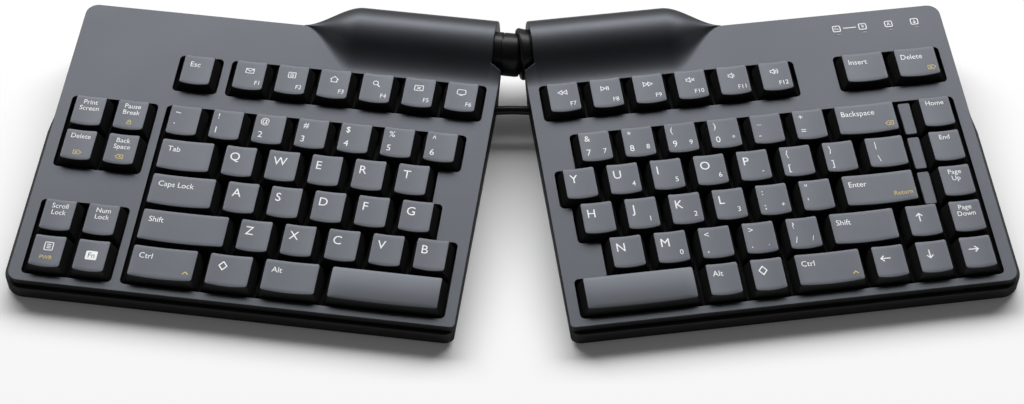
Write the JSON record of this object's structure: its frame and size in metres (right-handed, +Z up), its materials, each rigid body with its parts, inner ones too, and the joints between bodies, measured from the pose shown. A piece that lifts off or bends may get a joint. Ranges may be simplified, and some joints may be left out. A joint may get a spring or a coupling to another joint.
{
  "type": "split keyboard",
  "caption": "Split computer keyboard: sloped left and right halves joined at the back by a lockable ball hinge, charcoal plastic with pressable keys.",
  "frame": {"origin": "on the desk, under the middle of the splayed keyboard's footprint", "axes": "+X to the typist's right, +Y away from the typist, +Z up"},
  "size_m": [0.4318, 0.181, 0.037],
  "materials": {
    "case_plastic": "fine satin texture",
    "key_plastic": "fine satin texture",
    "base_plastic": "satin",
    "frame_plastic": "satin",
    "silicone": "matt",
    "membrane_film": "smooth",
    "steel": "brushed",
    "soft_rubber": "matt",
    "circuit_board": "lacquered",
    "clear_lens": "polished",
    "bearing_plastic": "smooth"
  },
  "bodies": {
    "left_half": {"left_top_case": "case_plastic", "left_bottom_case": "base_plastic", "left_key_frame": "frame_plastic", "left_dome_mat": "silicone", "left_membrane": "membrane_film", "left_back_plate": "steel", "left_feet": "soft_rubber", "left_screws": "steel", "left_board": "circuit_board", "left_grommet": "soft_rubber", "hinge_socket": "base_plastic", "thrust_cup": "bearing_plastic", "disc_springs": "steel", "jumper_lead": "soft_rubber"},
    "liner": {"socket_liner": "bearing_plastic"},
    "right_half": {"right_top_case": "case_plastic", "right_bottom_case": "base_plastic", "right_key_frame": "frame_plastic", "right_dome_mat": "silicone", "right_membrane": "membrane_film", "right_back_plate": "steel", "right_feet": "soft_rubber", "right_screws": "steel", "controller_board": "circuit_board", "right_grommet": "soft_rubber", "filler_strips": "case_plastic", "indicator_board": "circuit_board", "indicator_lenses": "clear_lens", "lead_gland": "soft_rubber", "ball_stud": "steel"},
    "ring": {"lock_ring": "base_plastic"},
    "escape_key_body": {"escape_key": "key_plastic"},
    "left_function_keys_body": {"left_function_keys": "key_plastic"},
    "left_edit_keys_body": {"left_edit_keys": "key_plastic"},
    "left_lock_keys_body": {"left_lock_keys": "key_plastic"},
    "left_number_keys_body": {"left_number_keys": "key_plastic"},
    "tab_key_body": {"tab_key": "key_plastic"},
    "left_upper_row_keys_body": {"left_upper_row_keys": "key_plastic"},
    "caps_lock_key_body": {"caps_lock_key": "key_plastic"},
    "left_home_row_keys_body": {"left_home_row_keys": "key_plastic"},
    "left_shift_key_body": {"left_shift_key": "key_plastic"},
    "left_lower_row_keys_body": {"left_lower_row_keys": "key_plastic"},
    "left_control_key_body": {"left_control_key": "key_plastic"},
    "left_command_keys_body": {"left_command_keys": "key_plastic"},
    "left_space_key_body": {"left_space_key": "key_plastic"},
    "right_function_keys_body": {"right_function_keys": "key_plastic"},
    "right_edit_keys_body": {"right_edit_keys": "key_plastic"},
    "right_number_keys_body": {"right_number_keys": "key_plastic"},
    "backspace_key_body": {"backspace_key": "key_plastic"},
    "right_upper_row_keys_body": {"right_upper_row_keys": "key_plastic"},
    "backslash_key_body": {"backslash_key": "key_plastic"},
    "right_home_row_keys_body": {"right_home_row_keys": "key_plastic"},
    "enter_key_body": {"enter_key": "key_plastic"},
    "right_lower_row_keys_body": {"right_lower_row_keys": "key_plastic"},
    "right_shift_key_body": {"right_shift_key": "key_plastic"},
    "right_space_key_body": {"right_space_key": "key_plastic"},
    "right_command_keys_body": {"right_command_keys": "key_plastic"},
    "right_control_key_body": {"right_control_key": "key_plastic"},
    "arrow_keys_body": {"arrow_keys": "key_plastic"},
    "page_keys_body": {"page_keys": "key_plastic"}
  },
  "joints": [
    {"name": "splay", "type": "hinge", "parent": "left_half", "child": "liner", "pos_m": [0, 0.05874, 0.0245], "axis": [0, 0, 1], "range_deg": [-16, 14], "deforming": ["jumper_lead"]},
    {"name": "tent", "type": "hinge", "parent": "liner", "child": "right_half", "pos_m": [0, 0.05874, 0.0245], "axis": [0, 1, 0], "range_deg": [0, 30], "deforming": ["jumper_lead"]},
    {"name": "lock", "type": "hinge", "parent": "right_half", "child": "ring", "pos_m": [0, 0.05874, 0.0245], "axis": [0.9903, 0.1392, 0], "range_deg": [0, 60]},
    {"name": "escape_press", "type": "slide", "parent": "left_half", "child": "escape_key_body", "axis": [-0.0145, -0.1035, 0.9945], "range_m": [-0.0032, 0], "stiffness_N_per_m": 150, "springref_m": 0.004, "deforming": ["left_dome_mat"]},
    {"name": "left_function_press", "type": "slide", "parent": "left_half", "child": "left_function_keys_body", "axis": [-0.0145, -0.1035, 0.9945], "range_m": [-0.0032, 0], "stiffness_N_per_m": 150, "springref_m": 0.004, "deforming": ["left_dome_mat"]},
    {"name": "left_edit_press", "type": "slide", "parent": "left_half", "child": "left_edit_keys_body", "axis": [-0.0145, -0.1035, 0.9945], "range_m": [-0.0032, 0], "stiffness_N_per_m": 150, "springref_m": 0.004, "deforming": ["left_dome_mat"]},
    {"name": "left_lock_press", "type": "slide", "parent": "left_half", "child": "left_lock_keys_body", "axis": [-0.0145, -0.1035, 0.9945], "range_m": [-0.0032, 0], "stiffness_N_per_m": 150, "springref_m": 0.004, "deforming": ["left_dome_mat"]},
    {"name": "left_number_press", "type": "slide", "parent": "left_half", "child": "left_number_keys_body", "axis": [-0.0145, -0.1035, 0.9945], "range_m": [-0.0032, 0], "stiffness_N_per_m": 150, "springref_m": 0.004, "deforming": ["left_dome_mat"]},
    {"name": "tab_press", "type": "slide", "parent": "left_half", "child": "tab_key_body", "axis": [-0.0145, -0.1035, 0.9945], "range_m": [-0.0032, 0], "stiffness_N_per_m": 150, "springref_m": 0.004, "deforming": ["left_dome_mat"]},
    {"name": "left_upper_row_press", "type": "slide", "parent": "left_half", "child": "left_upper_row_keys_body", "axis": [-0.0145, -0.1035, 0.9945], "range_m": [-0.0032, 0], "stiffness_N_per_m": 150, "springref_m": 0.004, "deforming": ["left_dome_mat"]},
    {"name": "caps_lock_press", "type": "slide", "parent": "left_half", "child": "caps_lock_key_body", "axis": [-0.0145, -0.1035, 0.9945], "range_m": [-0.0032, 0], "stiffness_N_per_m": 150, "springref_m": 0.004, "deforming": ["left_dome_mat"]},
    {"name": "left_home_row_press", "type": "slide", "parent": "left_half", "child": "left_home_row_keys_body", "axis": [-0.0145, -0.1035, 0.9945], "range_m": [-0.0032, 0], "stiffness_N_per_m": 150, "springref_m": 0.004, "deforming": ["left_dome_mat"]},
    {"name": "left_shift_press", "type": "slide", "parent": "left_half", "child": "left_shift_key_body", "axis": [-0.0145, -0.1035, 0.9945], "range_m": [-0.0032, 0], "stiffness_N_per_m": 150, "springref_m": 0.004, "deforming": ["left_dome_mat"]},
    {"name": "left_lower_row_press", "type": "slide", "parent": "left_half", "child": "left_lower_row_keys_body", "axis": [-0.0145, -0.1035, 0.9945], "range_m": [-0.0032, 0], "stiffness_N_per_m": 150, "springref_m": 0.004, "deforming": ["left_dome_mat"]},
    {"name": "left_control_press", "type": "slide", "parent": "left_half", "child": "left_control_key_body", "axis": [-0.0145, -0.1035, 0.9945], "range_m": [-0.0032, 0], "stiffness_N_per_m": 150, "springref_m": 0.004, "deforming": ["left_dome_mat"]},
    {"name": "left_command_press", "type": "slide", "parent": "left_half", "child": "left_command_keys_body", "axis": [-0.0145, -0.1035, 0.9945], "range_m": [-0.0032, 0], "stiffness_N_per_m": 150, "springref_m": 0.004, "deforming": ["left_dome_mat"]},
    {"name": "left_space_press", "type": "slide", "parent": "left_half", "child": "left_space_key_body", "axis": [-0.0145, -0.1035, 0.9945], "range_m": [-0.0032, 0], "stiffness_N_per_m": 150, "springref_m": 0.004, "deforming": ["left_dome_mat"]},
    {"name": "right_function_press", "type": "slide", "parent": "right_half", "child": "right_function_keys_body", "axis": [0.0145, -0.1035, 0.9945], "range_m": [-0.0032, 0], "stiffness_N_per_m": 150, "springref_m": 0.004, "deforming": ["right_dome_mat"]},
    {"name": "right_edit_press", "type": "slide", "parent": "right_half", "child": "right_edit_keys_body", "axis": [0.0145, -0.1035, 0.9945], "range_m": [-0.0032, 0], "stiffness_N_per_m": 150, "springref_m": 0.004, "deforming": ["right_dome_mat"]},
    {"name": "right_number_press", "type": "slide", "parent": "right_half", "child": "right_number_keys_body", "axis": [0.0145, -0.1035, 0.9945], "range_m": [-0.0032, 0], "stiffness_N_per_m": 150, "springref_m": 0.004, "deforming": ["right_dome_mat"]},
    {"name": "backspace_press", "type": "slide", "parent": "right_half", "child": "backspace_key_body", "axis": [0.0145, -0.1035, 0.9945], "range_m": [-0.0032, 0], "stiffness_N_per_m": 150, "springref_m": 0.004, "deforming": ["right_dome_mat"]},
    {"name": "right_upper_row_press", "type": "slide", "parent": "right_half", "child": "right_upper_row_keys_body", "axis": [0.0145, -0.1035, 0.9945], "range_m": [-0.0032, 0], "stiffness_N_per_m": 150, "springref_m": 0.004, "deforming": ["right_dome_mat"]},
    {"name": "backslash_press", "type": "slide", "parent": "right_half", "child": "backslash_key_body", "axis": [0.0145, -0.1035, 0.9945], "range_m": [-0.0032, 0], "stiffness_N_per_m": 150, "springref_m": 0.004, "deforming": ["right_dome_mat"]},
    {"name": "right_home_row_press", "type": "slide", "parent": "right_half", "child": "right_home_row_keys_body", "axis": [0.0145, -0.1035, 0.9945], "range_m": [-0.0032, 0], "stiffness_N_per_m": 150, "springref_m": 0.004, "deforming": ["right_dome_mat"]},
    {"name": "enter_press", "type": "slide", "parent": "right_half", "child": "enter_key_body", "axis": [0.0145, -0.1035, 0.9945], "range_m": [-0.0032, 0], "stiffness_N_per_m": 150, "springref_m": 0.004, "deforming": ["right_dome_mat"]},
    {"name": "right_lower_row_press", "type": "slide", "parent": "right_half", "child": "right_lower_row_keys_body", "axis": [0.0145, -0.1035, 0.9945], "range_m": [-0.0032, 0], "stiffness_N_per_m": 150, "springref_m": 0.004, "deforming": ["right_dome_mat"]},
    {"name": "right_shift_press", "type": "slide", "parent": "right_half", "child": "right_shift_key_body", "axis": [0.0145, -0.1035, 0.9945], "range_m": [-0.0032, 0], "stiffness_N_per_m": 150, "springref_m": 0.004, "deforming": ["right_dome_mat"]},
    {"name": "right_space_press", "type": "slide", "parent": "right_half", "child": "right_space_key_body", "axis": [0.0145, -0.1035, 0.9945], "range_m": [-0.0032, 0], "stiffness_N_per_m": 150, "springref_m": 0.004, "deforming": ["right_dome_mat"]},
    {"name": "right_command_press", "type": "slide", "parent": "right_half", "child": "right_command_keys_body", "axis": [0.0145, -0.1035, 0.9945], "range_m": [-0.0032, 0], "stiffness_N_per_m": 150, "springref_m": 0.004, "deforming": ["right_dome_mat"]},
    {"name": "right_control_press", "type": "slide", "parent": "right_half", "child": "right_control_key_body", "axis": [0.0145, -0.1035, 0.9945], "range_m": [-0.0032, 0], "stiffness_N_per_m": 150, "springref_m": 0.004, "deforming": ["right_dome_mat"]},
    {"name": "arrow_press", "type": "slide", "parent": "right_half", "child": "arrow_keys_body", "axis": [0.0145, -0.1035, 0.9945], "range_m": [-0.0032, 0], "stiffness_N_per_m": 150, "springref_m": 0.004, "deforming": ["right_dome_mat"]},
    {"name": "page_press", "type": "slide", "parent": "right_half", "child": "page_keys_body", "axis": [0.0145, -0.1035, 0.9945], "range_m": [-0.0032, 0], "stiffness_N_per_m": 150, "springref_m": 0.004, "deforming": ["right_dome_mat"]}
  ]
}
